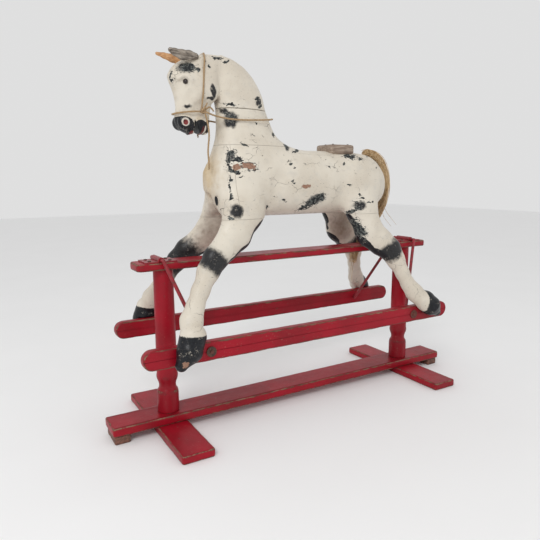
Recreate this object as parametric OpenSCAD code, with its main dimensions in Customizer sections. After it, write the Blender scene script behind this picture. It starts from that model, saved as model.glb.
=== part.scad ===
// Rocking horse on a swing stand. Millimetres, +Z up, the horse faces +X.
// The origin is on the floor, under the middle of the stand.

/* [Stand base] */
// Length of the long floor rail
base_len = 1155; // [900:5:1300]
// Width of the long floor rail
base_w = 86; // [70:1:100]
// Thickness of the long floor rail
base_t = 24; // [18:0.5:32]
// Length of each cross foot
foot_len = 430; // [410:5:520]
// Width of each cross foot
foot_w = 85; // [60:1:100]
// Thickness of the cross feet and end blocks
foot_t = 21.5; // [16:0.5:30]
// Distance of each cross foot from the middle
foot_x = 420; // [400:1:440]

/* [Pillars] */
// Distance of each pillar from the middle
pillar_x = 418; // [400:1:425]
// Diameter of a pillar at its foot
pillar_foot_d = 57.6; // [50:0.2:64]
// Diameter of a pillar at its top
pillar_top_d = 51.2; // [44:0.2:56]

/* [Top rail] */
// Height of the underside of the top rail
top_z = 432; // [400:1:450]
// Length of the top rail
top_len = 990; // [940:5:1100]
// Width of the top rail
top_w = 74; // [60:1:76]
// Thickness of the top rail
top_t = 20; // [16:0.5:24]

/* [Hoof rails] */
// Length of each hoof rail
rail_len = 1000; // [980:5:1060]
// How far forward of the middle the hoof rails hang
rail_x = 27; // [0:1:30]
// Distance of each hoof rail's middle from the centre line
rail_y = 144; // [140:1:150]
// Thickness of a hoof rail
rail_t = 26; // [20:1:30]
// Height of a hoof rail
rail_h = 49; // [40:1:56]
// Height of the underside of the hoof rails
rail_z = 219; // [210:1:225]

/* [Swing irons] */
// Diameter of the iron rod
rod_d = 9.5; // [8:0.5:12]
// Distance of each iron's upper bend from the middle
iron_x = 431; // [425:1:440]
// Distance between the front and rear lower pins
pin_spacing = 683; // [670:1:690]
// How far forward of the middle the two lower pins hang
pin_shift = 16; // [0:1:20]
// How much further back the right hoof rail sits than the left one
right_rail_set_back = 12; // [0:1:20]
// Outer diameter of the washers on the lower pins
washer_d = 26; // [22:1:30]

/* [Horse] */
// Height of the horse's underside, where the legs join
belly_z = 555; // [550:1:560]
// Height of the joint between the body and the neck
neck_seam_z = 745; // [740:1:750]
// Height of the joint between the neck and the head
head_seam_z = 838; // [832:1:845]
// Distance of the joint in front of the body from the middle
chest_seam_x = 240; // [225:1:250]
// Distance of the joint behind the body from the middle
rump_seam_x = 250; // [240:1:260]
// Wall thickness of the hollow body, top and bottom
body_wall = 38; // [30:1:45]
// Half the width of the hollow inside the body
hollow_half_w = 46; // [36:1:50]

/* [Hidden] */

red = "#a3182b";
iron_red = "#8d2230";
cream = "#d9d0c2";
bare_wood = "#9b7a5a";
twine = "#a5875f";
straw = "#c9a877";
steel = "#6f5a4b";

form_fn = 20;
leg_fn = 14;
far = 2000;

base_z = foot_t;
base_top = foot_t + base_t;
top_top = top_z + top_t;
rod_r = rod_d / 2;
rod_gap = 0.35;
bend_z = top_top + rod_r + rod_gap;
pin_z = rail_z + rail_h / 2 - 0.5;
front_pin_x = pin_shift + pin_spacing / 2;
rear_pin_x = pin_shift - pin_spacing / 2;
rail_in = rail_y - rail_t / 2;
rail_out = rail_y + rail_t / 2;
open_hole_r = rod_r + 5.4;
run_hole_r = rod_r + 0.2;
end_block_l = 42;
tenon_r = 14;
tenon_fit = 0.05;

// A bar with its corners rounded in plan, lying on z = 0.
module rounded_bar(length, width, thick, r) {
    linear_extrude(thick)
        union() {
            square([length - 2 * r, width], center = true);
            square([length, width - 2 * r], center = true);
            for (sx = [-1, 1], sy = [-1, 1])
                translate([sx * (length / 2 - r), sy * (width / 2 - r)]) circle(r, $fn = 40);
        }
}

module upright_bore(r) {
    translate([0, 0, -1]) cylinder(r = r, h = 100, $fn = 48);
}

// ---- stand ----

module base_rail() {
    color(red)
        difference() {
            translate([0, 0, base_z]) rounded_bar(base_len, base_w, base_t, 6);
            for (s = [-1, 1])
                translate([s * pillar_x, 0, base_z]) upright_bore(tenon_r);
        }
}

module cross_foot(x) {
    color(red) translate([x, 0, 0]) rounded_bar(foot_w, foot_len, foot_t, 6);
}

module end_block(s) {
    inset_x = 4;
    inset_y = 3.5;
    mid = base_len / 2 - inset_x - end_block_l / 2;
    color(red) translate([s * mid, 0, 0]) rounded_bar(end_block_l, base_w - 2 * inset_y, foot_t, 4);
}

module wood_screw(head_r, head_h, shank_r, shank_l) {
    cylinder(r = head_r, h = head_h, $fn = 32);
    translate([0, 0, -shank_l]) cylinder(r = shank_r, h = shank_l, $fn = 24);
}

// Screws driven up through each cross foot and end block into the floor rail.
module foot_screws() {
    head_h = 2.5;
    color(steel)
        for (s = [-1, 1], at = [[foot_x - 24, 26], [foot_x + 24, -26], [base_len / 2 - 25, 22], [base_len / 2 - 25, -22]])
            translate([s * at[0], s * at[1], head_h + 3]) rotate([180, 0, 0]) wood_screw(4.5, head_h, 2.2, 31);
}

// Turned pillar: a plain foot, a cove and a ring, then a tapered column.
module pillar(s) {
    foot_r = pillar_foot_d / 2;
    top_r = pillar_top_d / 2;
    cove_r = 22.3;
    ring_r = 28.4;
    color(red)
        translate([s * pillar_x, 0, 0])
            rotate_extrude($fn = 64)
                polygon([
                    [0, base_z + 2], [tenon_r - tenon_fit, base_z + 2], [tenon_r - tenon_fit, base_top],
                    [foot_r, base_top], [foot_r, base_top + 54], [foot_r - 1.6, base_top + 60],
                    [cove_r + 2, base_top + 64], [cove_r, base_top + 74], [cove_r + 1.5, base_top + 81],
                    [ring_r - 2, base_top + 89], [ring_r, base_top + 97], [ring_r - 1.5, base_top + 106],
                    [foot_r - 1.6, base_top + 113], [top_r, top_z], [tenon_r - tenon_fit, top_z],
                    [tenon_r - tenon_fit, top_top - 1], [0, top_top - 1]
                ]);
}

module top_rail() {
    color(red)
        difference() {
            translate([0, 0, top_z]) rounded_bar(top_len, top_w, top_t, 9);
            for (s = [-1, 1])
                translate([s * pillar_x, 0, top_z]) upright_bore(tenon_r);
        }
}

// Steel strap screwed over the top of a swing iron.
strap_t = 3;
strap_w = 60;
strap_flat = 34;
module iron_bracket(s) {
    arch_r = rod_r + 0.3;
    color(iron_red)
        translate([s * iron_x, strap_w / 2, top_top])
            rotate([90, 0, 0])
                linear_extrude(strap_w)
                    difference() {
                        union() {
                            translate([-arch_r - strap_t - strap_flat, 0]) square([2 * (arch_r + strap_t + strap_flat), strap_t]);
                            translate([0, bend_z - top_top]) circle(arch_r + strap_t, $fn = 48);
                            translate([-arch_r - strap_t, 0]) square([2 * (arch_r + strap_t), bend_z - top_top]);
                        }
                        translate([0, bend_z - top_top]) circle(arch_r, $fn = 48);
                        translate([-arch_r, -20]) square([2 * arch_r, 20 + bend_z - top_top]);
                        translate([-arch_r - strap_t - 1, -20]) square([2 * (arch_r + strap_t + 1), 20]);
                    }
}

module bracket_screws() {
    reach = rod_r + strap_t + strap_flat / 2 + 2;
    color(steel)
        for (s = [-1, 1], dx = [-reach, reach], dy = [-17, 17])
            translate([s * iron_x + dx, dy, top_top + strap_t]) wood_screw(4.2, 2, 1.9, 17);
}

// ---- swing irons ----

module rod(a, b) {
    run = b - a;
    length = norm(run);
    tilt = acos(run[2] / length);
    turn = atan2(run[1], run[0]);
    translate(a) rotate([0, tilt, turn]) cylinder(r = rod_r, h = length, $fn = 40);
}

// A forged bend, a little fatter than the rod.
module knuckle(at) {
    translate(at) sphere(rod_r + 0.4, $fn = 40);
}

// One rod bent into an upside-down U, with its ends turned out through the hoof rails.
module swing_iron(x, pin_x) {
    top_half = top_w / 2 + rod_r + 2.6;
    elbow_y = rail_in - rod_r - 3;
    end_y = rail_out + 5.2;
    color(iron_red) {
        rod([x, -top_half, bend_z], [x, top_half, bend_z]);
        for (s = [-1, 1]) {
            rod([x, s * top_half, bend_z], [pin_x, s * elbow_y, pin_z]);
            rod([pin_x, s * elbow_y, pin_z], [pin_x, s * end_y, pin_z]);
            knuckle([x, s * top_half, bend_z]);
            knuckle([pin_x, s * elbow_y, pin_z]);
        }
    }
}

// Washers at the lower pins, held by the rod's spread end.
module iron_washers(pin_x) {
    washer_t = 2.4;
    color(steel)
        for (s = [-1, 1])
            translate([pin_x, s * (rail_out + 0.3), pin_z])
                rotate([-90 * s, 0, 0])
                    difference() {
                        cylinder(d = washer_d, h = washer_t, $fn = 48);
                        translate([0, 0, -1]) cylinder(r = rod_r + tenon_fit, h = 5, $fn = 48);
                    }
}

// ---- horse: hoof rails ----

module hoof_rail(s) {
    mid_x = s > 0 ? rail_x : rail_x - right_rail_set_back;
    end_r = rail_h / 2;
    half = rail_len / 2 - end_r;
    color(red)
        translate([0, s * rail_y + rail_t / 2, 0])
            rotate([90, 0, 0])
                linear_extrude(rail_t)
                    difference() {
                        union() {
                            translate([mid_x - half, rail_z]) square([2 * half, rail_h]);
                            for (e = [-1, 1])
                                translate([mid_x + e * half, rail_z + end_r]) circle(end_r, $fn = 64);
                        }
                        translate([front_pin_x, pin_z]) circle(run_hole_r, $fn = 48);
                        translate([rear_pin_x, pin_z]) circle(open_hole_r, $fn = 48);
                    }
}

// ---- horse: carved timber ----

// An ellipsoid: middle [x, y, z], radii [x, y, z].
module egg(mid, radii, fn = form_fn) {
    translate(mid) scale(radii) sphere(1, $fn = fn);
}

// Each leg is a chain of rounded sections, [x, y, z, fore-and-aft radius, sideways radius].
fore_leg = [
    [209, 64, 570, 57, 27], [246, 76, 516, 42, 26], [281, 85, 484, 33, 25], [316, 97, 460, 31, 25],
    [338, 108, 433, 26, 23], [367, 122, 388, 21, 20], [387, 134, 354, 22, 20], [403, 148, 320, 27, 22],
    [409, 164, 292, 32, 27]
];
fore_hoof = [[412, 177, 268, 35, 26], [431, 178, 236, 17, 22]];
hind_leg = [
    [-186, 62, 575, 52, 28], [-208, 78, 497, 44, 30], [-245, 88, 466, 38, 29], [-277, 98, 441, 34, 27],
    [-291, 108, 410, 28, 24], [-306, 124, 368, 21, 20], [-320, 137, 333, 21, 20], [-337, 150, 304, 26, 22],
    [-358, 165, 286, 29, 26]
];
hind_hoof = [[-372, 177, 272, 31, 26], [-400, 178, 244, 15, 22]];

module leg_section(p) {
    egg([p[0], p[1], p[2]], [p[3], p[4], p[3]], leg_fn);
}

// Side +1 is the left, nearer leg. The top is cut flat at the belly joint and the
// hoof is notched over the hoof rail. back_set moves the lower leg to the rear.
module leg(chain, hoof, s, back_set = 0) {
    sections = concat(chain, hoof);
    lift = sections[0][2] - rail_z;
    placed = [for (p = sections) [p[0] - back_set * (sections[0][2] - p[2]) / lift, p[1], p[2], p[3], p[4]]];
    color(cream)
        mirror([0, s > 0 ? 0 : 1, 0])
            difference() {
                union()
                    for (i = [0:len(placed) - 2])
                        hull() {
                            leg_section(placed[i]);
                            leg_section(placed[i + 1]);
                        }
                translate([-far / 2, -far / 2, belly_z]) cube(far);
                translate([-far / 2, rail_out - far, rail_z + rail_h - far]) cube(far);
            }
}

// Head, neck and body in one form, cut into the separate blocks below.
chest = [[205, 0, 642], [80, 66, 91]];
ribs = [[105, 0, 646], [86, 74, 93]];
girth = [[-15, 0, 646], [86, 75, 93]];
loin = [[-115, 0, 648], [88, 73, 91]];
rump = [[-198, 0, 645], [104, 72, 92]];
neck_root = [[166, 0, 730], [97, 54, 52]];
neck_low = [[172, 0, 790], [84, 44, 40]];
neck_mid = [[183, 0, 838], [73, 38, 40]];
neck_high = [[192, 0, 885], [70, 36, 44]];
crest = [[226, 0, 918], [58, 34, 50]];
poll = [[278, 0, 925], [44, 34, 42]];
brow = [[336, 0, 893], [50, 38, 46]];
jaw = [[312, 0, 876], [48, 34, 44]];
nose = [[326, 0, 842], [48, 29, 30]];
muzzle = [[334, 0, 803], [43, 26, 31]];

module join(a, b) {
    hull() {
        egg(a[0], a[1]);
        egg(b[0], b[1]);
    }
}

module neck_and_head_form() {
    chain = [chest, neck_root, neck_low, neck_mid, neck_high, crest, poll, jaw, nose, muzzle];
    for (i = [0:len(chain) - 2])
        join(chain[i], chain[i + 1]);
    join(neck_root, ribs);
    join(poll, brow);
    join(brow, nose);
}

module body_form() {
    chain = [chest, ribs, girth, loin, rump];
    for (i = [0:len(chain) - 2])
        join(chain[i], chain[i + 1]);
    for (s = [-1, 1]) {
        join([[200, s * 38, 640], [64, 42, 80]], [[209, s * 64, 566], [55, 27, 30]]);
        join([[-190, s * 36, 645], [80, 44, 78]], [[-186, s * 63, 568], [51, 28, 30]]);
    }
}

module horse_form() {
    neck_and_head_form();
    body_form();
}

module block_between(low, high) {
    intersection() {
        horse_form();
        translate(low) cube(high - low);
    }
}

hollow_top = neck_seam_z - 8 - body_wall;
hollow_base = belly_z + body_wall;

module chest_block() {
    color(cream) block_between([chest_seam_x, -far, belly_z], [far, far, neck_seam_z]);
}

module rump_block() {
    color(cream)
        difference() {
            block_between([-far, -far, belly_z], [-rump_seam_x, far, neck_seam_z]);
            translate(peg_at) rotate([0, peg_tilt, 0]) translate([0, 0, -40]) cylinder(r = peg_r + tenon_fit, h = 80, $fn = 32);
        }
}

module upper_body_board() {
    color(cream) block_between([-rump_seam_x, -far, hollow_top], [chest_seam_x, far, neck_seam_z]);
}

module lower_body_board() {
    color(cream) block_between([-rump_seam_x, -far, belly_z], [chest_seam_x, far, hollow_base]);
}

module body_side(s) {
    color(cream)
        mirror([0, s > 0 ? 0 : 1, 0])
            block_between([-rump_seam_x, hollow_half_w, hollow_base], [chest_seam_x, far, hollow_top]);
}

throat_x = 268;
chin_z = 750;

module neck_block() {
    color(cream) block_between([-far, -far, neck_seam_z], [throat_x, far, head_seam_z]);
}

module head_block() {
    color(cream)
        difference() {
            union() {
                block_between([-far, -far, head_seam_z], [far, far, far]);
                block_between([throat_x, -far, chin_z], [far, far, head_seam_z]);
            }
            for (s = [-1, 1])
                translate([eye_at[0], s * eye_at[1], eye_at[2]]) sphere(eye_r + 0.1, $fn = 32);
        }
}

// Dowels glued across the joints between blocks.
module dowel(at, tilt = [0, 0, 0], length = 50, r = 6) {
    translate(at) rotate(tilt) cylinder(r = r, h = length, center = true, $fn = 24);
}

module leg_dowels() {
    color(bare_wood)
        for (s = [-1, 1], x = [185, 228, -205, -165])
            dowel([x, s * 66, belly_z]);
}

module neck_dowels() {
    color(bare_wood) {
        for (x = [120, 205])
            dowel([x, 0, neck_seam_z], length = 56, r = 7);
        for (x = [155, 215])
            dowel([x, 0, head_seam_z], length = 56, r = 7);
    }
}

// Carved ear, pointing forward, glued to the top of the head.
module ear(s) {
    tint = s > 0 ? "#b5a894" : "#c88f57";
    color(tint)
        difference() {
            union() {
                hull() {
                    egg([318, s * 30, 938], [22, 9, 17], 16);
                    egg([352, s * 38, 952], [18, 9, 13], 16);
                }
                hull() {
                    egg([352, s * 38, 952], [18, 9, 13], 16);
                    egg([394, s * 43, 962], [5, 3, 4], 16);
                }
            }
            horse_form();
        }
}

eye_r = 7;
eye_at = [352, 31, 893];

module glass_eye(s) {
    color("#1a1310") translate([eye_at[0], s * eye_at[1], eye_at[2]]) sphere(eye_r, $fn = 32);
}

// Low wooden pad that the lost saddle was nailed to.
saddle_x = [-192, -76];
module saddle_block() {
    mid = (saddle_x[0] + saddle_x[1]) / 2;
    half = (saddle_x[1] - saddle_x[0]) / 2;
    color(bare_wood)
        difference() {
            hull() {
                translate([mid, 0, 722]) scale([half, 44, 1]) cylinder(r = 1, h = 22, $fn = 40);
                translate([mid - 6, 0, 750]) scale([half - 16, 32, 1]) cylinder(r = 1, h = 8, $fn = 40);
            }
            horse_form();
        }
}

module saddle_nails() {
    color(steel)
        for (x = [-165, -110], y = [-18, 18])
            translate([x, y, 757.5]) wood_screw(2.8, 1.2, 1.1, 36);
}

// ---- tail, a peg with horsehair bound to it ----

peg_r = 9;
peg_tilt = -58;
peg_at = [-268, 0, 694];
tail_chain = [
    [-298, 0, 719, 14], [-318, -1, 698, 20], [-329, -6, 655, 23], [-330, -16, 600, 23],
    [-320, -32, 545, 21], [-304, -48, 500, 18], [-289, -55, 455, 15], [-280, -56, 410, 12],
    [-276, -56, 372, 7]
];
// How much thinner the hair is from side to side than fore and aft.
tail_flat = 0.68;

module tail_peg() {
    color(bare_wood)
        translate(peg_at) rotate([0, peg_tilt, 0]) cylinder(r = peg_r, h = 36, $fn = 32);
}

module tail_hair() {
    color(straw)
        difference() {
            union()
                for (i = [0:len(tail_chain) - 2])
                    hull()
                        for (p = [tail_chain[i], tail_chain[i + 1]])
                            egg([p[0], p[1], p[2]], [p[3], p[3] * tail_flat, p[3]], leg_fn);
            horse_form();
            translate(peg_at) rotate([0, peg_tilt, 0]) cylinder(r = peg_r + 0.2, h = 36.2, $fn = 32);
        }
}

// ---- twine bridle ----

twine_r = 2.1;
sides = 8;

function unit(v) = v / norm(v);
function heading(path, i) =
    unit(path[min(i + 1, len(path) - 1)] - path[max(i - 1, 0)]);
function ring(at, along, r, side_on) =
    let (across = unit(cross(along, side_on)),
         up = cross(across, along))
    [for (k = [0:sides - 1]) at + r * (cos(360 * k / sides) * across + sin(360 * k / sides) * up)];

// A round twine swept along a path as one closed polyhedron. side_on is a
// direction that the path never runs along.
module swept_twine(path, side_on = [0, 0, 1], r = twine_r) {
    last = len(path) - 1;
    points = [for (i = [0:last]) each ring(path[i], heading(path, i), r, side_on)];
    walls = [for (i = [0:last - 1], k = [0:sides - 1])
        let (n = (k + 1) % sides)
        [i * sides + k, i * sides + n, (i + 1) * sides + n, (i + 1) * sides + k]];
    start_cap = [for (k = [sides - 1:-1:0]) k];
    end_cap = [for (k = [0:sides - 1]) last * sides + k];
    polyhedron(points, concat([start_cap], walls, [end_cap]));
}

function mirrored(path) = [for (p = path) [p[0], -p[1], p[2]]];
function backwards(path) = [for (i = [len(path) - 1:-1:0]) path[i]];

noseband_side = [[383, 0, 821], [376, 16, 821], [358, 28, 822], [335, 33, 823], [312, 34, 824]];
cheek_side = [[276, 0, 970], [283, 18, 966], [292, 32, 950], [300, 38, 928], [305, 39, 900], [309, 38, 868], [312, 35, 838], [312, 34, 828]];
rein_side = [[307, 38, 822], [280, 41, 815], [250, 43, 810], [215, 46, 808], [175, 48, 809], [135, 42, 812], [106, 28, 816], [88, 0, 820]];

module bridle_string() {
    color(twine) {
        swept_twine(concat(backwards(noseband_side), [for (i = [1:4]) mirrored(noseband_side)[i]]));
        swept_twine(concat(backwards(cheek_side), [for (i = [1:7]) mirrored(cheek_side)[i]]), [1, 0, 0]);
    }
}

module rein_string() {
    color(twine)
        swept_twine(concat(rein_side, backwards([for (i = [0:6]) mirrored(rein_side)[i]])));
}

knot_at = [309, 37, 825];
module bridle_knot() {
    color(twine)
        for (s = [-1, 1])
            hull() {
                translate([knot_at[0] - 5, s * knot_at[1], knot_at[2] - 3]) sphere(5, $fn = 16);
                translate([knot_at[0] + 4, s * knot_at[1], knot_at[2] + 3]) sphere(5, $fn = 16);
            }
}

long_end = [
    [306, 40, 818], [303, 41, 806], [300, 41, 794], [298, 41, 782], [297, 40, 770], [297, 39, 758],
    [298, 38, 746], [299, 37, 734], [299, 36, 722], [298, 36, 710], [297, 35, 698], [297, 35, 686]
];
short_end = [
    [304, -40, 818], [301, -41, 810], [298, -41, 802], [296, -41, 794], [295, -40, 786],
    [294, -40, 778], [294, -39, 770]
];

module long_rein_end() {
    color(twine) swept_twine(long_end, [0, 1, 0]);
}

module short_rein_end() {
    color(twine) swept_twine(short_end, [0, 1, 0]);
}

// Screws through each hoof into its rail.
module hoof_screws() {
    color(steel)
        for (s = [-1, 1], at = [[424, 250], [412, 264], [-374, 262], [-390, 250]])
            translate([at[0] - (at[0] < 0 && s < 0 ? 20 : 0), s * (rail_out + 11), at[1]])
                rotate([-90 * s, 0, 0]) wood_screw(4, 2, 2, 30);
}

base_rail();
cross_foot(foot_x);  // front_cross_foot
cross_foot(-foot_x);  // rear_cross_foot
end_block(1);  // front_end_block
end_block(-1);  // rear_end_block
foot_screws();
pillar(1);  // front_pillar
pillar(-1);  // rear_pillar
top_rail();
iron_bracket(1);  // front_iron_bracket
iron_bracket(-1);  // rear_iron_bracket
bracket_screws();
swing_iron(iron_x, front_pin_x);  // front_swing_iron
swing_iron(-iron_x, rear_pin_x);  // rear_swing_iron
iron_washers(front_pin_x);  // front_iron_washers
iron_washers(rear_pin_x);  // rear_iron_washers
hoof_rail(1);  // left_hoof_rail
hoof_rail(-1);  // right_hoof_rail
hoof_screws();
leg(fore_leg, fore_hoof, 1);  // left_fore_leg
leg(fore_leg, fore_hoof, -1);  // right_fore_leg
leg(hind_leg, hind_hoof, 1);  // left_hind_leg
leg(hind_leg, hind_hoof, -1, 22);  // right_hind_leg
leg_dowels();
chest_block();
rump_block();
upper_body_board();
lower_body_board();
body_side(1);  // left_body_side
body_side(-1);  // right_body_side
neck_block();
neck_dowels();
head_block();
ear(1);  // left_ear
ear(-1);  // right_ear
glass_eye(1);  // left_glass_eye
glass_eye(-1);  // right_glass_eye
saddle_block();
saddle_nails();
tail_hair();
tail_peg();
bridle_string();
rein_string();
bridle_knot();
long_rein_end();
short_rein_end();
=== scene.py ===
"""A worn, painted rocking horse on a red swing stand, built round its CAD frame."""
import math

import bmesh
import bpy
import numpy as np
import openvdb
from mathutils import Matrix, Vector


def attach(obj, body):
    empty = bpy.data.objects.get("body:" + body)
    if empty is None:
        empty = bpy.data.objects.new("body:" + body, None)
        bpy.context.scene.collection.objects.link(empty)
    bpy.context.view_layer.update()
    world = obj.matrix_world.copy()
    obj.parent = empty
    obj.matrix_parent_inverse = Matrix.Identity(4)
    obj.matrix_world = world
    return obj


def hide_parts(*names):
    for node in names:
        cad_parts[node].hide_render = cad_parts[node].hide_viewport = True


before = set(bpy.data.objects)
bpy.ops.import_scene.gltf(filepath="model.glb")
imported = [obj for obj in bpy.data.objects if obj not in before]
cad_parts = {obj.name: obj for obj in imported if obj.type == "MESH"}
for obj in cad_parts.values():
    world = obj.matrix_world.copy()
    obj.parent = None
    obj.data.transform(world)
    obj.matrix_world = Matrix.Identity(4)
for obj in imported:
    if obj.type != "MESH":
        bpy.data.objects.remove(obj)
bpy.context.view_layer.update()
MM = 0.001
seeded = np.random.default_rng(7)
# The top of the range for random directions, just short of a full turn.
ANY_WAY = 6.28
CAMERA_PLACE = (0.853, 1.277, 0.6555)
CAMERA_TURN, CAMERA_TILT, CAMERA_ROLL = 0.5344, -0.1719, -0.0053
LENS_MM, SENSOR_MM = 34.66, 36
SKY_STRENGTH = 0.74
LIGHTS_AIM = (0, 0, 0.5)
FLOOR_HALF = 9


# ---------------------------------------------------------------- camera and light

def add_camera():
    """The photograph's viewing angle: from the horse's front left, a little above its belly."""
    data = bpy.data.cameras.new("camera")
    data.sensor_width = SENSOR_MM
    data.lens = LENS_MM
    data.clip_start = 0.05
    data.clip_end = 30
    camera = bpy.data.objects.new("camera", data)
    bpy.context.scene.collection.objects.link(camera)
    bpy.context.scene.camera = camera
    turn, tilt, roll = CAMERA_TURN, CAMERA_TILT, CAMERA_ROLL
    ahead = Vector((-math.sin(turn) * math.cos(tilt), -math.cos(turn) * math.cos(tilt), math.sin(tilt)))
    side = ahead.cross(Vector((0, 0, 1))).normalized()
    top = side.cross(ahead)
    level_side = side * math.cos(roll) + top * math.sin(roll)
    level_top = top * math.cos(roll) - side * math.sin(roll)
    grid = Matrix((level_side, level_top, -ahead)).transposed().to_4x4()
    grid.translation = Vector(CAMERA_PLACE)
    camera.matrix_world = grid


def add_area_light(name, place, size, power):
    """A round lamp aimed at the horse. Size is its width in metres and power is in watts."""
    data = bpy.data.lights.new(name, "AREA")
    data.shape = "DISK"
    data.size = size
    data.energy = power
    lamp = bpy.data.objects.new(name, data)
    bpy.context.scene.collection.objects.link(lamp)
    lamp.location = place
    lamp.rotation_euler = (Vector(LIGHTS_AIM) - Vector(place)).to_track_quat("-Z", "Y").to_euler()


def add_studio():
    scene = bpy.context.scene
    scene.view_settings.view_transform = "Standard"
    world = bpy.data.worlds.new("studio")
    scene.world = world
    world.use_nodes = True
    sky = world.node_tree.nodes["Background"]
    sky.inputs[0].default_value = (1, 1, 1, 1)
    sky.inputs[1].default_value = SKY_STRENGTH
    add_area_light("key", (2.2, 2.0, 2.6), 1.3, 42)
    add_area_light("fill", (-1.6, 2.6, 1.2), 2.0, 4)
    mesh = bpy.data.meshes.new("floor")
    h = FLOOR_HALF
    mesh.from_pydata([(-h, -h, 0), (h, -h, 0), (h, h, 0), (-h, h, 0)], [], [(0, 1, 2, 3)])
    paper = Shader("studio_floor")
    tone = paper.mix(paper.noise(3, 2), (0.88, 0.88, 0.88), (0.91, 0.91, 0.91))
    paper.finish(tone, 0.9)
    floor = new_object("floor", mesh, paper.material)


# ---------------------------------------------------------------- shader builder

class Value:
    """A number or colour that the material works out at each point. Numbers take + - and *."""

    def __init__(self, shader, socket):
        self.shader = shader
        self.socket = socket

    def __add__(self, other):
        return self.shader.math("ADD", self, other)

    def __sub__(self, other):
        return self.shader.math("SUBTRACT", self, other)

    def __mul__(self, other):
        return self.shader.math("MULTIPLY", self, other)

    __radd__ = __add__


class Shader:
    """Builds a node material step by step. Inputs are values, sockets, numbers or colours."""

    def __init__(self, name):
        self.material = bpy.data.materials.new(name)
        self.material.use_nodes = True
        self.tree = self.material.node_tree
        self.surface = self.tree.nodes["Principled BSDF"]
        self.place = self.node("ShaderNodeTexCoord").outputs["Object"]

    def node(self, kind, **settings):
        made = self.tree.nodes.new(kind)
        for key, value in settings.items():
            setattr(made, key, value)
        return made

    def join(self, value, socket):
        if isinstance(value, Value):
            value = value.socket
        if isinstance(value, bpy.types.NodeSocket):
            self.tree.links.new(value, socket)
        elif isinstance(value, tuple) and socket.type == "RGBA":
            socket.default_value = (*value[:3], 1)
        else:
            socket.default_value = value

    def math(self, operation, a, b=0.0):
        made = self.node("ShaderNodeMath", operation=operation)
        self.join(a, made.inputs[0])
        self.join(b, made.inputs[1])
        return Value(self, made.outputs[0])

    def most(self, a, b):
        return self.math("MAXIMUM", a, b)

    def step(self, value, low, high):
        """0 below low and 1 above high, with a smooth rise. Low may be above high."""
        made = self.node("ShaderNodeMapRange", interpolation_type="SMOOTHSTEP")
        self.join(value, made.inputs[0])
        made.inputs[1].default_value = low
        made.inputs[2].default_value = high
        return Value(self, made.outputs[0])

    def mix(self, amount, a, b):
        made = self.node("ShaderNodeMix", data_type="RGBA")
        self.join(amount, made.inputs[0])
        self.join(a, made.inputs[6])
        self.join(b, made.inputs[7])
        return Value(self, made.outputs[2])

    def stretched(self, scale, shift=(0, 0, 0)):
        made = self.node("ShaderNodeMapping")
        self.tree.links.new(self.place, made.inputs[0])
        made.inputs["Scale"].default_value = scale
        made.inputs["Location"].default_value = shift
        return made.outputs[0]

    def noise(self, scale, detail=3, rough=0.55, at=None, bend=0.0):
        made = self.node("ShaderNodeTexNoise")
        self.tree.links.new(at or self.place, made.inputs["Vector"])
        made.inputs["Scale"].default_value = scale
        made.inputs["Detail"].default_value = detail
        made.inputs["Roughness"].default_value = rough
        made.inputs["Distortion"].default_value = bend
        return Value(self, made.outputs["Fac"])

    def to_cell_edge(self, scale, at):
        """Distance to the nearest border of a pattern of irregular cells."""
        made = self.node("ShaderNodeTexVoronoi", feature="DISTANCE_TO_EDGE")
        self.tree.links.new(at, made.inputs["Vector"])
        made.inputs["Scale"].default_value = scale
        return Value(self, made.outputs["Distance"])

    def painted(self, name):
        """A value stored on the mesh's points."""
        made = self.node("ShaderNodeAttribute", attribute_name=name)
        return Value(self, made.outputs["Fac"])

    def finish(self, color, rough, height=None, depth=0.0005, metal=0.0, coat=0.0, shine=0.5):
        self.surface.inputs["Specular IOR Level"].default_value = shine
        self.join(color, self.surface.inputs["Base Color"])
        self.join(rough, self.surface.inputs["Roughness"])
        self.join(metal, self.surface.inputs["Metallic"])
        if coat:
            self.surface.inputs["Coat Weight"].default_value = coat
            self.surface.inputs["Coat Roughness"].default_value = 0.15
        if height is not None:
            bump = self.node("ShaderNodeBump")
            bump.inputs["Distance"].default_value = depth
            self.join(height, bump.inputs["Height"])
            self.tree.links.new(bump.outputs[0], self.surface.inputs["Normal"])
        return self.material


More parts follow.
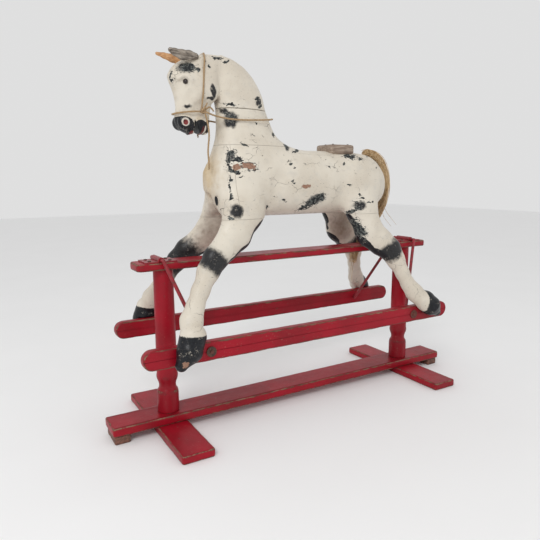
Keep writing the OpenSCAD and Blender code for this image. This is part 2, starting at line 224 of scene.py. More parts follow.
def horse_paint(name, ground=(0.7, 0.645, 0.55)):
    """Old cream paint: varnish stains, painted shade on the undersides and inner legs, airbrushed black,
    flaked patches and bare wood.
    """
    s = Shader(name)
    broad = s.noise(9, 3)
    fine = s.noise(420, 4, 0.6)
    mid = s.noise(70, 5, 0.6)
    grit = s.noise(1300, 2, 0.6)
    shade = (ground[0] * 0.88, ground[1] * 0.86, ground[2] * 0.84)
    color = s.mix(s.step(broad, 0.35, 0.65), ground, shade)
    color = s.mix(s.step(s.noise(34, 4, 0.6), 0.52, 0.72) * 0.3, color, (0.5, 0.48, 0.44))
    color = s.mix(s.step(mid, 0.52, 0.75) * 0.3, color, (0.56, 0.49, 0.385))
    stain = s.step(s.painted("stain") + (mid - 0.5) * 0.7, 0.05, 1.0)
    color = s.mix(stain * 0.76, color, (0.5, 0.36, 0.185))
    # Painted shade: dark brown mixed in on the undersides, the inner legs, between the legs and under the
    # jaw.
    painted_shade = s.step(s.painted("painted_shade") + (mid - 0.5) * 0.6, 0.05, 1.1)
    color = s.mix(painted_shade * 0.88, color, (0.155, 0.092, 0.062))
    soft_black = s.step(s.painted("black") + (mid - 0.5) * 0.7, -0.24, 0.3)
    gloss = s.step(s.painted("lacquer") + (fine - 0.5) * 0.1, 0.0, 0.035)
    ink = s.mix(s.step(fine, 0.35, 0.7), (0.004, 0.0045, 0.006), (0.017, 0.019, 0.024))
    speckle = s.step(mid * 0.55 + fine * 0.45, 0.6, 0.625)
    black = s.most(soft_black * 0.98, gloss) * (1.0 + speckle * -0.6)
    color = s.mix(black, color, ink)
    color = s.mix(s.step(s.painted("white") + (fine - 0.5) * 0.3, 0.0, 0.1), color, (0.6, 0.55, 0.48))
    lips = s.step(s.painted("lips") + (fine - 0.5) * 0.3, 0.0, 0.1)
    color = s.mix(lips, color, s.mix(s.step(mid, 0.4, 0.6), (0.085, 0.012, 0.014),
                                     (0.22, 0.035, 0.035)))
    flake = s.noise(230, 4, 0.6, s.stretched((0.45, 1.0, 1.5)))
    wobble = (mid - 0.5) * 1.5 + (flake - 0.5) * 2.4
    chip_edge = s.painted("chip") + wobble
    shed = flake + s.most(s.painted("chip"), -1.6) * 0.16
    chips = s.most(s.step(chip_edge, 0.06, 0.12), s.step(shed, 0.56, 0.575))
    rim = s.step(chip_edge, -0.1, 0.0) * s.step(chip_edge, 0.06, 0.0)
    primer = s.mix(s.step(s.noise(160, 4, 0.65), 0.44, 0.62), (0.01, 0.012, 0.014), (0.13, 0.14, 0.13))
    color = s.mix(rim * 0.5, color, (0.8, 0.77, 0.69))
    color = s.mix(chips, color, primer)
    bare_edge = s.painted("bare") + wobble * 0.6
    bare = s.step(bare_edge, 0.05, 0.12)
    grain = s.noise(60, 5, 0.6, s.stretched((3, 14, 14)))
    wood = s.mix(s.step(grain, 0.35, 0.68), (0.235, 0.12, 0.078), (0.385, 0.235, 0.165))
    color = s.mix(bare, color, wood)
    dashes = s.stretched((0.55, 1.0, 1.5))
    spots = s.step(s.noise(190, 3, 0.5, dashes), 0.69, 0.715)
    crumbs = s.step(s.noise(500, 2, 0.5, dashes), 0.68, 0.71) * s.step(broad, 0.44, 0.58)
    flecks = s.most(spots * s.step(mid, 0.45, 0.62), crumbs)
    color = s.mix(flecks * 0.85, color, (0.075, 0.066, 0.058))
    bent = s.node("ShaderNodeVectorMath", operation="ADD")
    warp = s.node("ShaderNodeTexNoise")
    warp.inputs["Scale"].default_value = 40
    s.tree.links.new(s.place, warp.inputs["Vector"])
    pull = s.node("ShaderNodeVectorMath", operation="SCALE")
    s.tree.links.new(warp.outputs["Color"], pull.inputs[0])
    pull.inputs["Scale"].default_value = 0.02
    s.tree.links.new(s.stretched((0.6, 1, 1.2)), bent.inputs[0])
    s.tree.links.new(pull.outputs[0], bent.inputs[1])
    net = s.to_cell_edge(26, bent.outputs[0])
    crack = s.step(net, 0.012, 0.004) * s.step(s.noise(16, 3), 0.5, 0.62)
    crack = s.most(crack, s.step(s.painted("crack"), 0.35, 0.75) * s.step(mid, 0.34, 0.5))
    color = s.mix(crack * 0.8, color, (0.05, 0.044, 0.038))
    height = s.most(chips, bare) * -0.8 + fine * 0.1
    height = height + (crack * -0.7 + grit * 0.05)
    height = height + s.noise(26, 2) * 0.9
    rough = 0.4 + s.most(chips, bare) * 0.3 + (mid - 0.5) * 0.25
    rough = rough + black * -0.06
    return s.finish(color, rough, height, 0.0007, shine=0.28)


def red_paint(name, along="x", lively=1.0):
    """Old crimson paint on wood. The paint has gone from the edges and rubbed places."""
    s = Shader(name)
    thin = dict(x=(0.1, 1.3, 1.3), y=(1.3, 0.1, 1.3), z=(1.3, 1.3, 0.1))[along]
    run = s.stretched(thin)
    grain = s.noise(210, 4, 0.6, run)
    coarse = s.noise(55, 4, 0.6, s.stretched(tuple(0.4 if v < 1 else 1.2 for v in thin)))
    mid = s.noise(48, 5, 0.62)
    fine = s.noise(330, 4, 0.6)
    broad = s.noise(7, 2)
    color = s.mix(s.step(broad, 0.35, 0.65), (0.34, 0.004, 0.016), (0.25, 0.005, 0.013))
    color = s.mix(s.step(coarse, 0.45, 0.7) * 0.26, color, (0.165, 0.006, 0.01))
    color = s.mix(s.step(fine, 0.56, 0.75) * 0.22, color, (0.44, 0.05, 0.055))
    scuff = s.step(grain, 0.6, 0.72) * s.step(mid, 0.48, 0.64)
    color = s.mix(scuff * (0.4 * lively), color, (0.36, 0.135, 0.105))
    wood = s.mix(s.step(grain, 0.38, 0.62), (0.085, 0.05, 0.034), (0.255, 0.165, 0.105))
    edge = s.painted("edge") + ((mid - 0.5) * 1.25 + (fine - 0.5) * 0.45)
    worn = s.step(edge, 0.8, 0.98)
    ring = s.step(edge, 0.55, 0.8) * 0.35
    color = s.mix(ring, color, (0.115, 0.02, 0.02))
    color = s.mix(worn * 0.92, color, wood)
    spots = s.step(s.noise(260, 3, 0.6), 0.64, 0.7) * s.step(s.noise(22, 3), 0.46, 0.6)
    color = s.mix(spots * (0.55 * lively), color, (0.34, 0.17, 0.12))
    short = s.stretched(tuple(0.45 if v < 1 else 1.0 for v in thin))
    nicks = s.step(s.noise(150, 2, 0.5, short), 0.7, 0.725) * lively
    color = s.mix(nicks * 0.7, color, (0.1, 0.045, 0.035))
    height = worn * -0.6 + (grain * 0.35 + fine * 0.12)
    height = height + nicks * -0.5
    rough = 0.38 + worn * 0.35 + (mid - 0.5) * 0.28
    return s.finish(color, rough, height, 0.0006, shine=0.24)


def red_iron(name):
    """Red paint brushed over forged steel, with rust where it has worn."""
    s = Shader(name)
    mid = s.noise(90, 4, 0.6)
    fine = s.noise(480, 4, 0.6)
    color = s.mix(s.step(mid, 0.35, 0.65), (0.3, 0.012, 0.022), (0.2, 0.012, 0.018))
    rust = s.mix(s.step(fine, 0.4, 0.65), (0.06, 0.022, 0.014), (0.15, 0.062, 0.036))
    gone = s.step(mid * 0.55 + fine * 0.45, 0.565, 0.6)
    apart = s.node("ShaderNodeSeparateXYZ")
    s.tree.links.new(s.place, apart.inputs[0])
    gone = s.most(gone, s.step(s.math("ABSOLUTE", apart.outputs["Y"]), 0.1572, 0.1578))
    color = s.mix(gone * 0.85, color, rust)
    height = gone * -0.5 + fine * 0.3
    return s.finish(color, 0.36 + gone * 0.35, height, 0.0004)


def rusted_steel(name):
    s = Shader(name)
    mid = s.noise(160, 4, 0.6)
    fine = s.noise(800, 3, 0.6)
    color = s.mix(s.step(mid, 0.35, 0.65), (0.05, 0.028, 0.02), (0.135, 0.07, 0.045))
    color = s.mix(s.step(fine, 0.6, 0.75), color, (0.23, 0.18, 0.15))
    metal = 0.25 + s.step(fine, 0.55, 0.7) * 0.5
    return s.finish(color, 0.48 + mid * 0.3, mid + fine * 0.4, 0.0004, metal)


def bare_wood(name, light, dark, along="x"):
    """Unpainted, handled wood with grain along one axis."""
    s = Shader(name)
    thin = dict(x=(0.12, 1.2, 1.2), y=(1.2, 0.12, 1.2), z=(1.2, 1.2, 0.12))[along]
    grain = s.noise(150, 5, 0.6, s.stretched(thin), 0.4)
    broad = s.noise(34, 3)
    fine = s.noise(420, 3)
    color = s.mix(s.step(grain, 0.34, 0.66), dark, light)
    color = s.mix(s.step(broad, 0.45, 0.7) * 0.5, color, tuple(v * 0.55 for v in dark))
    height = grain * 0.5 + fine * 0.2
    return s.finish(color, 0.52 + broad * 0.2, height, 0.0004)


def jute(name):
    s = Shader(name)
    fine = s.noise(900, 3, 0.6)
    mid = s.noise(120, 3)
    color = s.mix(s.step(fine, 0.35, 0.65), (0.23, 0.135, 0.062), (0.5, 0.345, 0.185))
    color = s.mix(s.step(mid, 0.5, 0.7) * 0.45, color, (0.22, 0.135, 0.07))
    s.surface.inputs["Sheen Weight"].default_value = 0.25
    return s.finish(color, 0.86, fine, 0.0004)


def straw_hair(name):
    s = Shader(name)
    streaks = s.noise(300, 3, 0.65, s.stretched((1, 1, 0.1)))
    broad = s.noise(26, 2)
    color = s.mix(s.step(streaks, 0.35, 0.65), (0.36, 0.205, 0.08), (0.84, 0.64, 0.38))
    color = s.mix(s.step(broad, 0.45, 0.65) * 0.4, color, (0.62, 0.47, 0.28))
    s.surface.inputs["Anisotropic"].default_value = 0.35
    return s.finish(color, 0.52, streaks, 0.0003)


def dark_glass(name):
    """A brown glass eye: dark iris flecks under a clear polished surface."""
    s = Shader(name)
    fine = s.noise(900, 3)
    color = s.mix(s.step(fine, 0.4, 0.6), (0.022, 0.01, 0.007), (0.006, 0.004, 0.004))
    return s.finish(color, 0.16, None, coat=0.35, shine=0.4)


# ---------------------------------------------------------------- small helpers

def new_object(name, mesh, material=None):
    piece = bpy.data.objects.new(name, mesh)
    bpy.context.scene.collection.objects.link(piece)
    if material:
        mesh.materials.append(material)
    return piece


def place_piece(name, mesh, material, body, nodes):
    """Adds a piece that rides on a body and stands for some CAD nodes."""
    for face in mesh.polygons:
        face.use_smooth = True
    piece = new_object(name, mesh, material)
    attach(piece, body)
    if nodes:
        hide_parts(*nodes)
    return piece


def points_of(mesh):
    flat = np.empty(len(mesh.vertices) * 3, np.float64)
    mesh.vertices.foreach_get("co", flat)
    return flat.reshape(-1, 3) / MM


def store(mesh, name, values):
    """Keeps one number on each point of a mesh, for its material to read."""
    layer = mesh.attributes.get(name) or mesh.attributes.new(name, "FLOAT", "POINT")
    layer.data.foreach_set("value", np.clip(values, -4, 4).astype(np.float32))


def mesh_from(name, points, faces):
    mesh = bpy.data.meshes.new(name)
    mesh.from_pydata([tuple(p) for p in points], [], [tuple(f) for f in faces])
    return mesh


def ring_faces(rings, around):
    """Faces that join equal rings of points into a closed skin, with a cap at each end."""
    faces = []
    for k in range(rings - 1):
        for i in range(around):
            j = (i + 1) % around
            faces.append((k * around + i, k * around + j, (k + 1) * around + j, (k + 1) * around + i))
    faces.append(tuple(range(around))[::-1])
    faces.append(tuple(range((rings - 1) * around, rings * around)))
    return faces


def smooth_noise(points, size, seed):
    """Soft random values about 0, one for each point, with bumps about size apart."""
    rng = np.random.default_rng(seed)
    total = np.zeros(len(points))
    for _ in range(10):
        way = rng.normal(size=3)
        way /= np.linalg.norm(way)
        total += np.sin(points @ way * (2 * math.pi / size) * rng.uniform(0.6, 1.6)
                        + rng.uniform(0, ANY_WAY))
    return total / 4.0


# ---------------------------------------------------------------- clay: solids from distance fields

class Clay:
    """A distance field on a grid, in millimetres. Forms are added and cut with soft joins."""

    def __init__(self, low, high, voxel):
        self.low = np.array(low, np.float32)
        self.voxel = voxel
        spans = [np.arange(a, b + voxel, voxel, dtype=np.float32) for a, b in zip(low, high)]
        self.x = spans[0][:, None, None]
        self.y = spans[1][None, :, None]
        self.z = spans[2][None, None, :]
        self.field = np.full([len(s) for s in spans], 40.0, np.float32)

    def add(self, distance, soft=0.0):
        self.field = soft_min(self.field, distance, soft)

    def cut(self, distance, soft=0.0):
        self.field = -soft_min(-self.field, distance, soft)

    def mesh(self, name):
        for axis in range(3):
            edge = [slice(None)] * 3
            for side in (0, -1):
                edge[axis] = side
                self.field[tuple(edge)] = np.maximum(self.field[tuple(edge)], self.voxel)
        grid = openvdb.FloatGrid(background=40.0)
        grid.copyFromArray(np.ascontiguousarray(self.field.astype(np.float32)))
        points, quads = grid.convertToQuads(isovalue=0.0)
        return mesh_from(name, (points * self.voxel + self.low) * MM, quads[:, ::-1])


def soft_min(a, b, soft):
    if soft <= 0:
        return np.minimum(a, b)
    blend = np.maximum(soft - np.abs(a - b), 0) / soft
    return np.minimum(a, b) - blend * blend * soft * 0.25


def egg(clay, mid, radii, tilt=0.0, side=1):
    """Distance to an ellipsoid. Tilt turns it in the side view, in degrees, nose up."""
    x, y, z = clay.x - mid[0], clay.y - side * mid[1], clay.z - mid[2]
    c, s = math.cos(math.radians(tilt)), math.sin(math.radians(tilt))
    u, w = x * c + z * s, z * c - x * s
    a = np.sqrt((u / radii[0]) ** 2 + (y / radii[1]) ** 2 + (w / radii[2]) ** 2)
    b = np.sqrt((u / radii[0] ** 2) ** 2 + (y / radii[1] ** 2) ** 2 + (w / radii[2] ** 2) ** 2)
    return a * (a - 1) / np.maximum(b, 1e-6)


def limb(clay, a, b, side=1):
    """Distance to a tapered bar. Each end is x, y, z, fore-and-aft radius, sideways radius."""
    flat = (a[4] / a[3] + b[4] / b[3]) / 2
    start = np.array([a[0], a[1] * side / flat, a[2]])
    run = np.array([b[0], b[1] * side / flat, b[2]]) - start
    x, y, z = clay.x - start[0], clay.y / flat - start[1], clay.z - start[2]
    along = np.clip((x * run[0] + y * run[1] + z * run[2]) / (run @ run), 0, 1)
    gap = np.sqrt((x - along * run[0]) ** 2 + (y - along * run[1]) ** 2 + (z - along * run[2]) ** 2)
    return (gap - (a[3] + (b[3] - a[3]) * along)) * min(1.0, flat)


def chain(clay, rows, side, soft):
    """Adds tapered bars through a row of joints."""
    for a, b in zip(rows, rows[1:]):
        clay.add(limb(clay, a, b, side), soft)


def groove(clay, points, radius, side=1):
    """Distance to a round line through points, for carving a groove or adding a ridge."""
    total = None
    for a, b in zip(points, points[1:]):
        part = limb(clay, (*a, radius, radius), (*b, radius, radius), side)
        total = part if total is None else np.minimum(total, part)
    return total


def smooth_curve(points, at):
    """Value of a smooth curve through (place, value) points."""
    xs = np.array([p[0] for p in points], float)
    ys = np.array([p[1] for p in points], float)
    slopes = np.gradient(ys, xs)
    at = np.clip(at, xs[0], xs[-1])
    i = np.clip(np.searchsorted(xs, at) - 1, 0, len(xs) - 2)
    step = xs[i + 1] - xs[i]
    t = (at - xs[i]) / step
    return ((2 * t ** 3 - 3 * t ** 2 + 1) * ys[i] + (t ** 3 - 2 * t ** 2 + t) * step * slopes[i]
            + (3 * t ** 2 - 2 * t ** 3) * ys[i + 1] + (t ** 3 - t ** 2) * step * slopes[i + 1])


def section_distance(u, v, half_u, half_v, power):
    """Distance to a rounded section, with u and v measured from its middle."""
    a = (np.abs(u / half_u) ** power + np.abs(v / half_v) ** power) ** (1 / power)
    return (a - 1) * np.minimum(half_u, half_v)


# ---------------------------------------------------------------- the horse's form, in millimetres

# Body: place along the horse, top, underside, half width.
BODY = [
    (-305, 642, 640, 2), (-302, 665, 616, 26), (-292, 687, 591, 46), (-270, 708, 570, 60),
    (-235, 727, 559, 70), (-190, 736, 556, 74), (-110, 738, 556, 74), (-20, 738, 556, 75),
    (70, 739, 556, 75), (140, 738, 557, 74), (200, 732, 561, 70), (235, 718, 570, 63),
    (262, 697, 588, 50), (278, 672, 610, 33), (284, 648, 632, 3),
]
# Neck: height, front, back, half width.
NECK = [
    (596, 276, 90, 34), (640, 284, 60, 48), (690, 284, 30, 57), (733, 268, 48, 57), (757, 260, 66, 51),
    (784, 256, 87, 45), (810, 256, 100, 41), (838, 257, 112, 38), (874, 264, 122, 36),
    (905, 268, 139, 35), (930, 268, 160, 33), (950, 264, 187, 29), (962, 255, 215, 22),
    (969, 245, 236, 6),
]
# Head: height, front, back, half width.
HEAD = [
    (771, 340, 314, 8), (777, 354, 294, 19), (788, 366, 286, 25), (800, 371, 281, 27),
    (815, 371, 280, 26), (830, 368, 278, 26), (850, 369, 272, 29), (866, 372, 263, 33),
    (882, 377, 257, 36), (897, 383, 252, 38), (908, 386, 249, 38), (920, 381, 246, 36),
    (935, 369, 242, 33), (948, 350, 240, 29), (959, 326, 238, 23), (968, 292, 245, 8),
]
# Legs and hooves: x, y, z, fore-and-aft radius, sideways radius.
FORE_LEG = [
    (204, 52, 625, 52, 28), (212, 62, 575, 55, 28), (246, 76, 516, 42, 26), (281, 85, 484, 33, 25),
    (312, 96, 462, 31, 25), (338, 108, 433, 27, 23), (367, 122, 388, 21, 19), (387, 134, 354, 21, 19),
    (402, 146, 326, 26, 21), (407, 157, 307, 27, 23),
]
FORE_HOOF = [(410, 172, 292, 33, 30), (422, 177, 260, 31, 27), (443, 178, 230, 15, 19)]
HIND_LEG = [
    (-176, 46, 640, 66, 34), (-186, 60, 578, 53, 30), (-208, 76, 500, 44, 30), (-245, 88, 466, 38, 29),
    (-275, 98, 442, 33, 26), (-291, 108, 410, 27, 23), (-306, 124, 368, 20, 19),
    (-318, 136, 336, 20, 19), (-332, 149, 311, 25, 21), (-345, 157, 296, 26, 23),
]
LEFT_EAR = [
    (322, 26, 955, 8, 7), (340, 30, 955, 11, 9), (360, 34, 953, 12, 9.5), (380, 39, 956, 8.5, 7.5),
    (392, 42, 959, 5.7, 4.5),
]
RIGHT_EAR = [
    (318, 25, 949, 9, 8), (338, 29, 953, 11, 9.5), (360, 34, 958, 10, 8.5), (380, 39, 963, 7, 6.5),
    (396, 43, 967, 4, 4),
]
HIND_HOOF = [(-360, 170, 284, 32, 30), (-378, 177, 267, 30, 26), (-401, 178, 246, 14, 18)]
RIGHT_HIND_SET_BACK = 22
# The hooves are notched over the hoof rails' outer faces and tops.
RAIL_FACE = 157.2
RAIL_TOP = 268.3
CHIN_BACK = 272
SEAM_GAP = 0.3
# Grid steps of the clay, in millimetres.
TORSO_STEP, NECK_STEP, HEAD_STEP, EAR_STEP, LEG_STEP = 2.8, 2.0, 1.5, 1.0, 2.5
BELLY, NECK_SEAM, HEAD_SEAM = 555, 745, 838
CHEST_SEAM, RUMP_SEAM = 240, -250
HOLLOW_TOP, HOLLOW_BASE, HOLLOW_SIDE = 699, 593, 46


def column(table, k):
    return [(row[0], row[k]) for row in table]


def loft_x(clay, table, power):
    """Upright sections strung along the horse."""
    x = clay.x[:, 0, 0]
    top, under, half = (smooth_curve(column(table, k), x)[:, None, None] for k in (1, 2, 3))
    tall = np.maximum((top - under) / 2, 1)
    body = section_distance(clay.z - (top + under) / 2, clay.y, tall, np.maximum(half, 1), power)
    past = np.maximum(table[0][0] - clay.x, clay.x - table[-1][0])
    return np.maximum(body, past)


def loft_z(clay, table, power, taper=0.0):
    """Level sections stacked up. A positive taper narrows the front and widens the back."""
    z = clay.z[0, 0, :]
    front, back, half = (smooth_curve(column(table, k), z)[None, None, :] for k in (1, 2, 3))
    deep = np.maximum((front - back) / 2, 1)
    along = clay.x - (front + back) / 2
    width = np.maximum(half, 1) * (1 - taper * np.clip(along / deep, -1, 1))
    form = section_distance(along, clay.y, deep, width, power)
    past = np.maximum(table[0][0] - clay.z, clay.z - table[-1][0])
    return np.maximum(form, past)


def set_back(row, amount):
    """Moves a hind leg's lower end to the rear, in proportion to its drop."""
    drop = max(0.0, (578 - row[2]) / (578 - 219))
    return (row[0] - amount * drop,) + tuple(row[1:])


def sculpt_body(clay):
    clay.add(loft_x(clay, BODY, 2.2))
    clay.add(loft_z(clay, NECK, 2.1, -0.18), 34)
    for side in (-1, 1):
        clay.add(egg(clay, (200, 44, 648), (52, 34, 84), -8, side), 14)
        clay.add(egg(clay, (-196, 42, 640), (80, 37, 84), 12, side), 20)
        clay.add(egg(clay, (250, 36, 606), (26, 25, 44), 12, side), 14)
        chain(clay, FORE_LEG[:4], side, 14)
        chain(clay, HIND_LEG[:4], side, 14)
        clay.cut(groove(clay, [(92, 92, 690), (116, 90, 640), (122, 88, 590)], 12, side), 26)
        clay.cut(groove(clay, [(-95, 92, 700), (-112, 90, 650), (-104, 86, 590)], 12, side), 26)
        clay.cut(egg(clay, (284, 35, 602), (14, 6, 20), -8, side), 5)
    clay.cut(egg(clay, (292, 0, 580), (30, 9, 40), 10), 16)
    clay.cut(egg(clay, (-318, 0, 600), (32, 7, 46), -10), 14)


def sculpt_head(clay):
    clay.add(loft_z(clay, NECK, 2.1, -0.18))
    clay.add(loft_z(clay, HEAD, 2.3, 0.12), 7)
    for side in (-1, 1):
        clay.add(egg(clay, (292, 19, 880), (34, 17, 34), 0, side), 7)
        clay.add(egg(clay, (352, 19, 799), (19, 12, 19), 0, side), 6)
        brow = [(336, 34, 897), (346, 34, 906), (358, 33, 907), (369, 29, 899)]
        clay.add(groove(clay, brow, 3.2, side), 9)
        clay.cut(egg(clay, (352, 37.5, 893), (8.2, 6, 7.8), 0, side), 2.0)
        clay.cut(egg(clay, (355, 33, 798), (6.0, 8, 7.0), 0, side), 1.6)
        behind_jaw = [(268, 43, 862), (258, 41, 884), (256, 41, 905), (264, 40, 922)]
        clay.cut(groove(clay, behind_jaw, 5.5, side), 9)
        clay.cut(groove(clay, [(340, 37, 862), (352, 33, 845), (352, 32, 828)], 7, side), 12)
        clay.cut(groove(clay, [(300, 33, 846), (322, 32, 838), (330, 33, 818)], 5, side), 10)
    mouth = limb(clay, (317, 0, 764, 7.5, 60), (327, 0, 801, 3.4, 60))
    clay.cut(mouth, 2.0)
    for side in (-1, 1):
        upper_lip = [(337, 4, 772), (336, 14, 776), (334, 21, 788), (333, 24, 800)]
        lower_lip = [(306, 4, 773), (308, 14, 777), (313, 21, 788), (320, 24, 800)]
        clay.add(groove(clay, upper_lip, 3.4, side), 3)
        clay.add(groove(clay, lower_lip, 3.0, side), 3)
    clay.add(egg(clay, (295, 0, 786), (13, 21, 16)), 5)
    # The head block ends at the neck joint behind, and the muzzle hangs below it in front.
    clay.cut(np.maximum(clay.x - CHIN_BACK, clay.z - HEAD_SEAM - 0.8) + clay.y * 0)


def sculpt_ear(clay, side, rows):
    """An ear laid forward, with a long hollow cut down its outer face."""
    chain(clay, [(x, y, z, tall, wide * 0.95) for x, y, z, tall, wide in rows], side, 3)
    low = 0 if side > 0 else 6
    hollow = [(340, 42, 947), (362, 46, 947 + low), (386, 48, 953 + low)]
    clay.cut(groove(clay, hollow, 7.0, side), 3)


# ---------------------------------------------------------------- pieces cut from the clay

def cut_mesh(mesh, planes):
    """Keeps what lies behind each plane, a point in mm and an outward direction, and closes the cut."""
    form = bmesh.new()
    form.from_mesh(mesh)
    for point, outward in planes:
        everything = form.verts[:] + form.edges[:] + form.faces[:]
        bmesh.ops.bisect_plane(form, geom=everything, dist=1e-7, plane_co=Vector(point) * MM,
                               plane_no=Vector(outward), clear_outer=True)
        rim = [e for e in form.edges if e.is_boundary]
        if rim:
            for face in bmesh.ops.holes_fill(form, edges=rim, sides=0)["faces"]:
                for edge in face.edges:
                    edge.smooth = False
    keep_largest(form)
    form.to_mesh(mesh)
    form.free()
    return mesh


def keep_largest(form):
    """Drops loose crumbs, keeping the part with the most points."""
    seen, parts = set(), []
    for first in form.verts:
        if first in seen:
            continue
        stack, part = [first], []
        seen.add(first)
        while stack:
            vert = stack.pop()
            part.append(vert)
            for edge in vert.link_edges:
                other = edge.other_vert(vert)
                if other not in seen:
                    seen.add(other)
                    stack.append(other)
        parts.append(part)
    parts.sort(key=len)
    for part in parts[:-1]:
        bmesh.ops.delete(form, geom=part, context="VERTS")


def amount(points, marks):
    """How far each point lies inside the nearest mark: 1 in its middle, 0 at its rim, below 0 outside.

    A mark is x, y, z, three radii, and its tilt in degrees in the side view."""
    best = np.full(len(points), -3.0)
    for *mid, long, wide, tall, tilt in marks:
        p = points - np.array(mid, float)
        c, s = math.cos(math.radians(tilt)), math.sin(math.radians(tilt))
        u, w = p[:, 0] * c + p[:, 2] * s, p[:, 2] * c - p[:, 0] * s
        d = np.sqrt((u / long) ** 2 + (p[:, 1] / wide) ** 2 + (w / tall) ** 2)
        best = np.maximum(best, 1 - d)
    return best


def both_sides(marks):
    return marks + [(x, -y, *rest) for x, y, *rest in marks]


# ---------------------------------------------------------------- where the paint is worn, and where shade is painted, in millimetres

# Airbrushed black, with soft edges.
BLACK = both_sides([
    (325, 105, 455, 29, 80, 70, -48), (-262, 110, 440, 29, 80, 60, 58), (282, 37, 882, 8, 20, 11, 0),
    (277, 36, 870, 8, 20, 12, 0), (286, 35, 858, 11, 20, 5, 0), (346, 27, 836, 12, 12, 6, 0),
]) + [
    (248, 90, 577, 17, 30, 18, 0), (-14, 66, 600, 30, 30, 14, -22), (243, 56, 718, 9, 30, 14, 40),
    (348, 27, 926, 22, 20, 13, 0), (-160, 86, 580, 20, 30, 14, 0), (234, 40, 812, 22, 20, 18, 0),
    (60, 30, 745, 18, 24, 9, -50), (-155, 80, 577, 13, 30, 13, 0), (146, 24, 859, 9, 14, 14, 60),
    (232, 36, 800, 16, 20, 12, 0), (250, 40, 830, 14, 30, 9, 0), (-176, -84, 460, 44, 60, 12, 40),
    (330, -90, 440, 60, 60, 62, -48),
]
# Black gloss paint, with hard edges: muzzle, mouth, chin, hooves and the legs' edges. The black in the
# chest's slits is painted shade.
LACQUER = both_sides([
    (356, 0, 788, 31, 60, 27, 0), (287, 0, 790, 17, 60, 17, 0), (430, 178, 232, 150, 130, 70, 0),
    (190, 70, 516, 48, 60, 13, -50), (236, 84, 471, 42, 60, 13, -32), (284, 92, 440, 42, 60, 12, -37),
    (-146, 80, 522, 40, 60, 9, 66), (-184, 86, 465, 40, 60, 9, 41), (-226, 95, 436, 32, 60, 9, 28),
    (312, 0, 786, 20, 60, 22, 0),
]) + [
    # The two marks at x 282, z 602 are black painted shade down the carved chest slits.
    (-400, 175, 270, 54, 100, 90, 0), (-426, -175, 270, 54, 100, 90, 0), (282, 34, 602, 10, 9, 17, -8),
    (282, -34, 602, 10, 9, 17, -8),
]
# White rings round the nostrils, and the lower teeth.
WHITE = both_sides([(354, 26, 798, 11, 20, 11, 0), (299, 0, 782, 2.6, 60, 12, 10)])
# Dark red inside the nostrils and along the lips.
LIPS = both_sides([(354, 30, 797, 6.5, 20, 7, 0), (334, 0, 773, 5, 60, 6, 12),
                   (305, 0, 780, 4.0, 60, 13, 8)])
# Paint flaked away to grey and black primer.
CHIP = [
    (240, 56, 723, 8, 30, 13, 60), (249, 56, 694, 7, 30, 19, 0), (228, 66, 707, 12, 30, 7, 20),
    (242, 58, 710, 11, 30, 7, 0), (201, 74, 690, 26, 30, 11.5, 4), (240, 62, 676, 12, 30, 6, 0),
    (226, 74, 664, 8, 20, 2.4, -20), (231, 72, 672, 7, 20, 2.4, -20), (252, 62, 656, 4, 30, 9, 0),
    (255, 66, 636, 2.6, 30, 13, 0), (256, 74, 611, 3.4, 30, 10, 20), (263, 88, 560, 8, 30, 5, 0),
    (346, 27, 925, 20, 20, 11, 0), (334, 30, 931, 10, 20, 6, 0), (382, 12, 902, 8, 6, 16, 0),
    (318, 35, 922, 5, 10, 6, 0), (290, 34, 934, 3, 10, 5, 0), (298, 34, 946, 3, 10, 4, 0),
    (262, 24, 958, 18, 12, 4.5, 0), (240, 24, 950, 10, 12, 3.5, -25), (152, 26, 866, 5, 14, 12, 60),
    (140, 26, 850, 5, 14, 10, 60), (96, 28, 778, 5, 14, 12, 60), (60, 30, 745, 15, 20, 6, -50),
    (231, 36, 812, 12, 20, 11, -40), (242, 36, 824, 9, 20, 5, 0), (235, 40, 846, 16, 20, 4, 0),
    (-158, 86, 512, 30, 40, 14, 56), (-6, 58, 592, 34, 40, 14, -26), (18, 58, 578, 24, 40, 7, -30),
    (-28, 66, 606, 22, 30, 11, 0), (-166, 86, 600, 13, 20, 4, 0), (-185, 88, 588, 8, 20, 3, 0),
    (-150, 84, 590, 10, 20, 3, 10), (-160, 84, 610, 6, 20, 5, 60), (-154, 82, 572, 13, 20, 8, 0),
    (-136, 80, 562, 14, 20, 6, -20), (-150, 50, 722, 22, 20, 9, 0), (-178, 50, 712, 12, 20, 5, -20),
    (68, 66, 697, 8, 20, 2.4, -35), (58, 69, 688, 7, 20, 2.4, -35), (75, 62, 706, 6, 20, 2.2, -35),
    (72, 75, 652, 8, 20, 2.6, 0), (64, 74, 646, 6, 20, 2.2, 10), (91, 67, 601, 8, 20, 4, 30),
    (141, 62, 584, 7, 20, 5, 0), (120, 68, 612, 6, 20, 2.0, 0), (20, 66, 700, 5, 20, 2.2, 30),
    (30, 34, 735, 22, 20, 4, -20), (205, 60, 745, 10, 30, 3, 20), (-128, 76, 640, 8, 20, 2.4, 0),
    (-60, 70, 690, 5, 20, 2.4, 20), (-118, 70, 702, 3, 20, 8, 20), (-206, 84, 590, 6, 20, 2.4, 0),
    (-236, 60, 690, 6, 20, 2.4, -30), (176, 58, 772, 8, 20, 2.2, 20), (160, 46, 800, 5, 20, 2.6, 0),
    (-10, -70, 610, 40, 30, 14, 20), (190, -72, 680, 24, 30, 16, -10), (-190, -78, 640, 20, 30, 22, 30),
    (120, -50, 770, 22, 30, 9, 40), (330, -34, 900, 10, 14, 12, 0), (-285, 20, 640, 10, 20, 14, 0),
    (250, -64, 640, 5, 30, 30, 0), (-60, -40, 728, 30, 20, 8, 0), (60, -76, 660, 14, 20, 5, 10),
]
